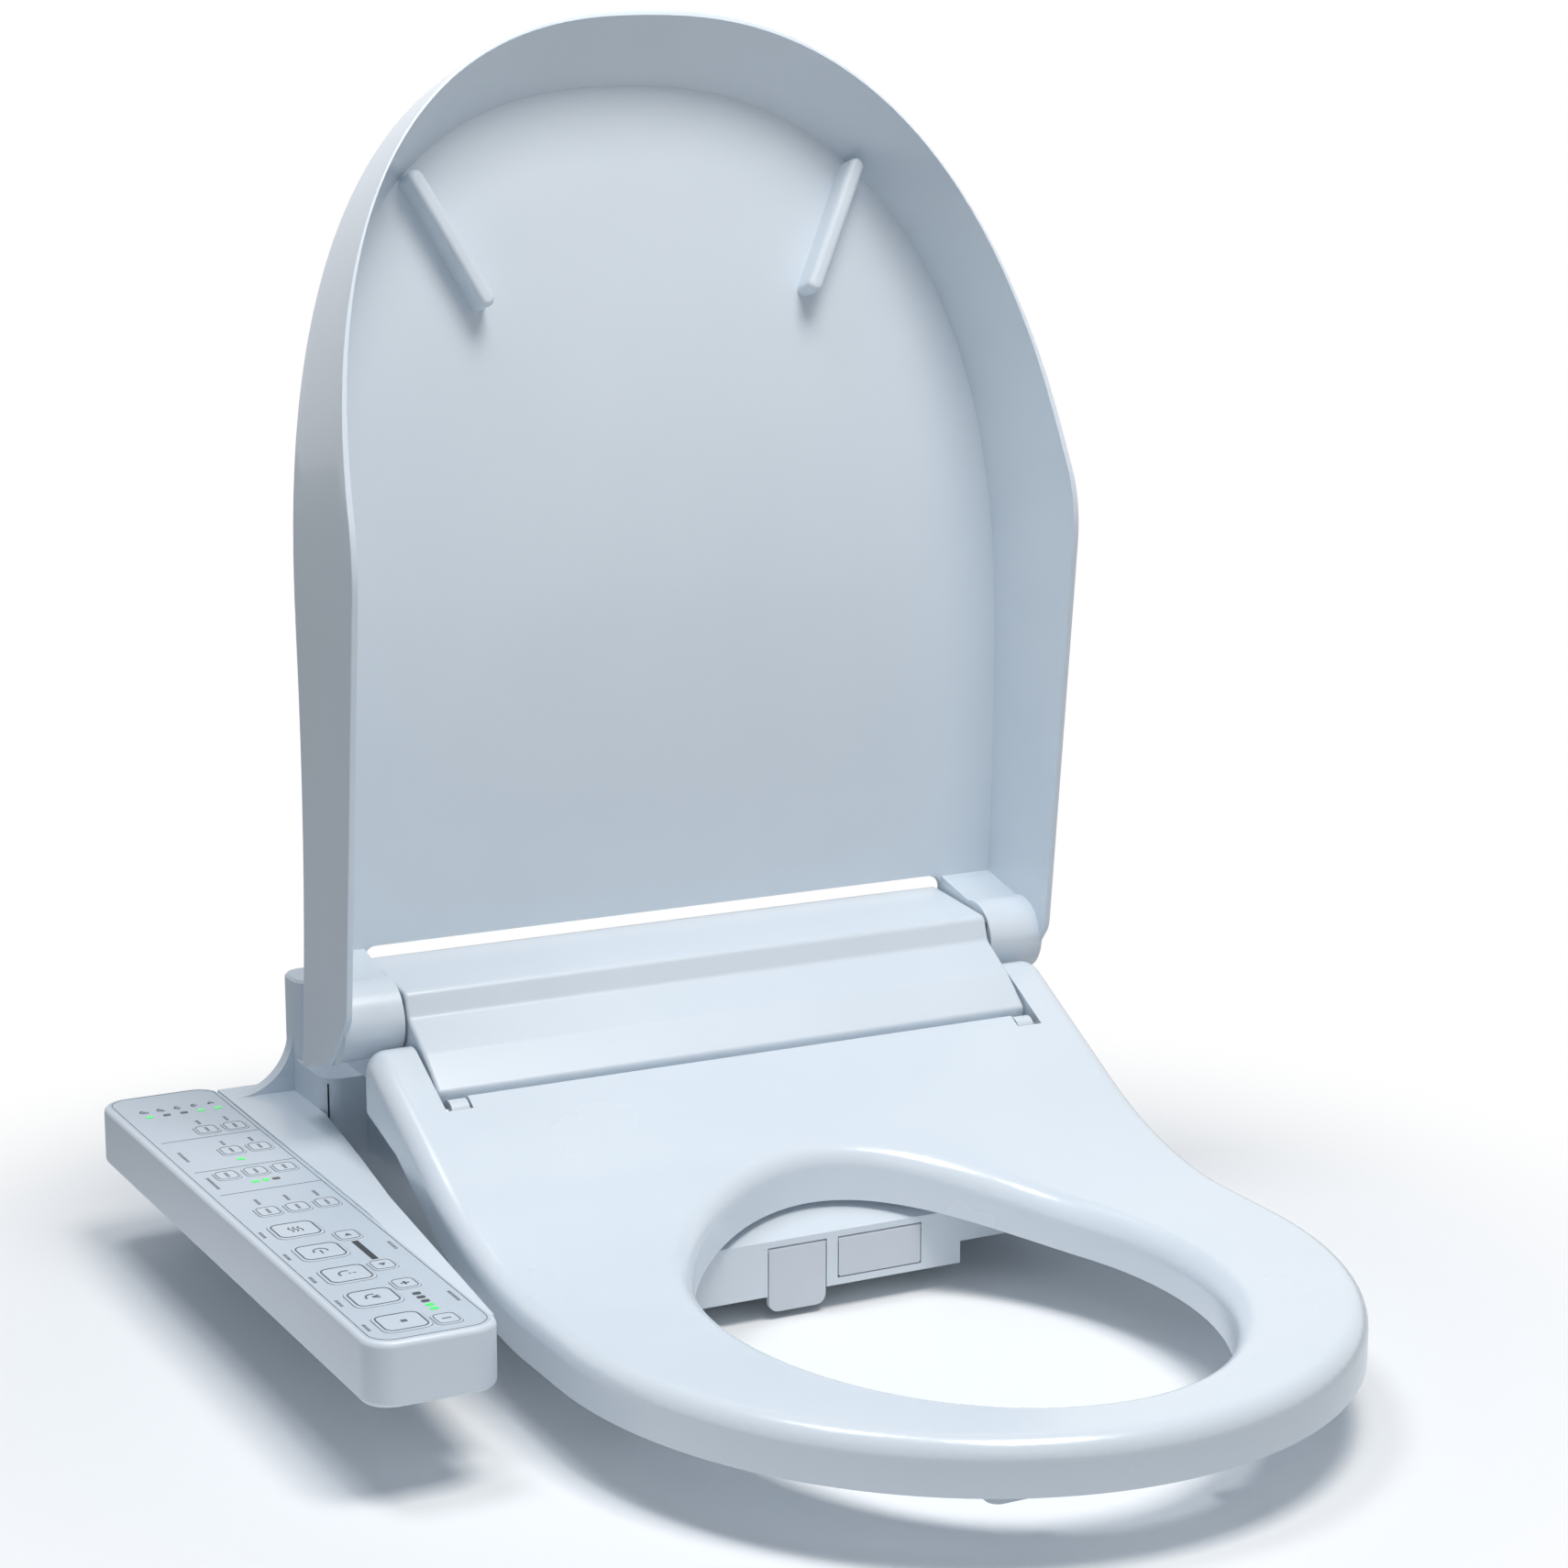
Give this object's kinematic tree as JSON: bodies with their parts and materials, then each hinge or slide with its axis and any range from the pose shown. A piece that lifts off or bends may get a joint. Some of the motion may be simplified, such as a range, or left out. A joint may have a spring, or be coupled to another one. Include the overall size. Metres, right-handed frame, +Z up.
{
  "type": "electric bidet seat",
  "caption": "White electric bidet toilet seat with deep tray lid, heated ring seat, washing unit with sliding nozzle and warm-air outlet, and a side control panel with push keys.",
  "frame": {"origin": "midway between the two fixing-bolt slots, on the mounting plate's underside (the bowl rim's plane)", "axes": "+X to the sitter's left as seen facing the front (away from the control panel), -Y towards the seat's front, +Z up"},
  "size_m": [0.4685, 0.561, 0.5959],
  "materials": {
    "lid_plastic": "gloss",
    "seat_plastic": "gloss",
    "case_plastic": "gloss",
    "inner_plastic": "satin",
    "nozzle_plastic": "gloss",
    "key_plastic": "satin",
    "bumper_rubber": "matte",
    "steel": "brushed",
    "brass": "machined",
    "board": "matte",
    "foil": "satin",
    "light_lens": "gloss"
  },
  "bodies": {
    "base": {"base_case": "case_plastic", "base_screws": "steel", "blower_housing": "inner_plastic", "blower_motor": "steel", "control_arm": "case_plastic", "dryer_duct": "inner_plastic", "flow_valve": "inner_plastic", "heater_element": "steel", "hinge_brackets": "steel", "inlet_valve": "inner_plastic", "lid_damper": "steel", "lid_hinge_pins": "steel", "main_board": "board", "mounting_plate": "inner_plastic", "nozzle_guide": "inner_plastic", "nozzle_motor": "steel", "panel_base": "case_plastic", "panel_board": "board", "panel_lights": "light_lens", "panel_top": "case_plastic", "power_board": "board", "power_gland": "inner_plastic", "seat_hinge_pins": "steel", "top_cover": "case_plastic", "water_inlet": "brass", "water_tank": "inner_plastic"},
    "lid": {"lid_shell": "lid_plastic", "lid_ribs": "lid_plastic"},
    "seat": {"seat_top": "seat_plastic", "seat_base": "seat_plastic", "seat_heater": "foil", "seat_bumpers": "bumper_rubber"},
    "nozzle": {"nozzle_tube": "nozzle_plastic", "nozzle_head": "nozzle_plastic"},
    "shutter": {"nozzle_shutter": "inner_plastic"},
    "flap": {"dryer_flap": "inner_plastic"},
    "fan": {"fan_wheel": "inner_plastic"},
    "key_air_heat": {"key_air_heat": "key_plastic"},
    "key_dryer": {"key_dryer": "key_plastic"},
    "key_front": {"key_front": "key_plastic"},
    "key_lock": {"key_lock": "key_plastic"},
    "key_position_back": {"key_position_back": "key_plastic"},
    "key_position_front": {"key_position_front": "key_plastic"},
    "key_power": {"key_power": "key_plastic"},
    "key_pressure_down": {"key_pressure_down": "key_plastic"},
    "key_pressure_up": {"key_pressure_up": "key_plastic"},
    "key_pulse": {"key_pulse": "key_plastic"},
    "key_rear": {"key_rear": "key_plastic"},
    "key_rinse": {"key_rinse": "key_plastic"},
    "key_saver": {"key_saver": "key_plastic"},
    "key_seat_heat": {"key_seat_heat": "key_plastic"},
    "key_soft": {"key_soft": "key_plastic"},
    "key_stop": {"key_stop": "key_plastic"},
    "key_sweep": {"key_sweep": "key_plastic"},
    "key_timer": {"key_timer": "key_plastic"},
    "key_water_heat": {"key_water_heat": "key_plastic"}
  },
  "joints": [
    {"name": "lid_hinge", "type": "hinge", "parent": "base", "child": "lid", "pos_m": [0, -0.03, 0.112], "axis": [-1, 0, 0], "range_deg": [-106, 0]},
    {"name": "seat_hinge", "type": "hinge", "parent": "base", "child": "seat", "pos_m": [0, -0.092, 0.08], "axis": [-1, 0, 0], "range_deg": [0, 102]},
    {"name": "nozzle_slide", "type": "slide", "parent": "base", "child": "nozzle", "axis": [0, -0.9397, -0.342], "range_m": [0, 0.075]},
    {"name": "shutter_hinge", "type": "hinge", "parent": "base", "child": "shutter", "pos_m": [-0.013, -0.1667, 0.015], "axis": [-1, 0, 0], "range_deg": [0, 110.1]},
    {"name": "flap_hinge", "type": "hinge", "parent": "base", "child": "flap", "pos_m": [0.031, -0.1667, 0.015], "axis": [-1, 0, 0], "range_deg": [0, 60]},
    {"name": "fan_spin", "type": "hinge", "parent": "base", "child": "fan", "pos_m": [0.032, -0.038, 0.03], "axis": [0, 0, 1], "continuous": true},
    {"name": "key_air_heat_press", "type": "slide", "parent": "base", "child": "key_air_heat", "axis": [0, 0, -1], "range_m": [0, 0.0006], "stiffness_N_per_m": 300},
    {"name": "key_dryer_press", "type": "slide", "parent": "base", "child": "key_dryer", "axis": [0, 0, -1], "range_m": [0, 0.0006], "stiffness_N_per_m": 300},
    {"name": "key_front_press", "type": "slide", "parent": "base", "child": "key_front", "axis": [0, 0, -1], "range_m": [0, 0.0006], "stiffness_N_per_m": 300},
    {"name": "key_lock_press", "type": "slide", "parent": "base", "child": "key_lock", "axis": [0, 0, -1], "range_m": [0, 0.0006], "stiffness_N_per_m": 300},
    {"name": "key_position_back_press", "type": "slide", "parent": "base", "child": "key_position_back", "axis": [0, 0, -1], "range_m": [0, 0.0006], "stiffness_N_per_m": 300},
    {"name": "key_position_front_press", "type": "slide", "parent": "base", "child": "key_position_front", "axis": [0, 0, -1], "range_m": [0, 0.0006], "stiffness_N_per_m": 300},
    {"name": "key_power_press", "type": "slide", "parent": "base", "child": "key_power", "axis": [0, 0, -1], "range_m": [0, 0.0006], "stiffness_N_per_m": 300},
    {"name": "key_pressure_down_press", "type": "slide", "parent": "base", "child": "key_pressure_down", "axis": [0, 0, -1], "range_m": [0, 0.0006], "stiffness_N_per_m": 300},
    {"name": "key_pressure_up_press", "type": "slide", "parent": "base", "child": "key_pressure_up", "axis": [0, 0, -1], "range_m": [0, 0.0006], "stiffness_N_per_m": 300},
    {"name": "key_pulse_press", "type": "slide", "parent": "base", "child": "key_pulse", "axis": [0, 0, -1], "range_m": [0, 0.0006], "stiffness_N_per_m": 300},
    {"name": "key_rear_press", "type": "slide", "parent": "base", "child": "key_rear", "axis": [0, 0, -1], "range_m": [0, 0.0006], "stiffness_N_per_m": 300},
    {"name": "key_rinse_press", "type": "slide", "parent": "base", "child": "key_rinse", "axis": [0, 0, -1], "range_m": [0, 0.0006], "stiffness_N_per_m": 300},
    {"name": "key_saver_press", "type": "slide", "parent": "base", "child": "key_saver", "axis": [0, 0, -1], "range_m": [0, 0.0006], "stiffness_N_per_m": 300},
    {"name": "key_seat_heat_press", "type": "slide", "parent": "base", "child": "key_seat_heat", "axis": [0, 0, -1], "range_m": [0, 0.0006], "stiffness_N_per_m": 300},
    {"name": "key_soft_press", "type": "slide", "parent": "base", "child": "key_soft", "axis": [0, 0, -1], "range_m": [0, 0.0006], "stiffness_N_per_m": 300},
    {"name": "key_stop_press", "type": "slide", "parent": "base", "child": "key_stop", "axis": [0, 0, -1], "range_m": [0, 0.0006], "stiffness_N_per_m": 300},
    {"name": "key_sweep_press", "type": "slide", "parent": "base", "child": "key_sweep", "axis": [0, 0, -1], "range_m": [0, 0.0006], "stiffness_N_per_m": 300},
    {"name": "key_timer_press", "type": "slide", "parent": "base", "child": "key_timer", "axis": [0, 0, -1], "range_m": [0, 0.0006], "stiffness_N_per_m": 300},
    {"name": "key_water_heat_press", "type": "slide", "parent": "base", "child": "key_water_heat", "axis": [0, 0, -1], "range_m": [0, 0.0006], "stiffness_N_per_m": 300}
  ],
  "couplings": [
    {"joint": "shutter_hinge", "follows": "nozzle_slide", "rad_per_m": 25.598}
  ]
}
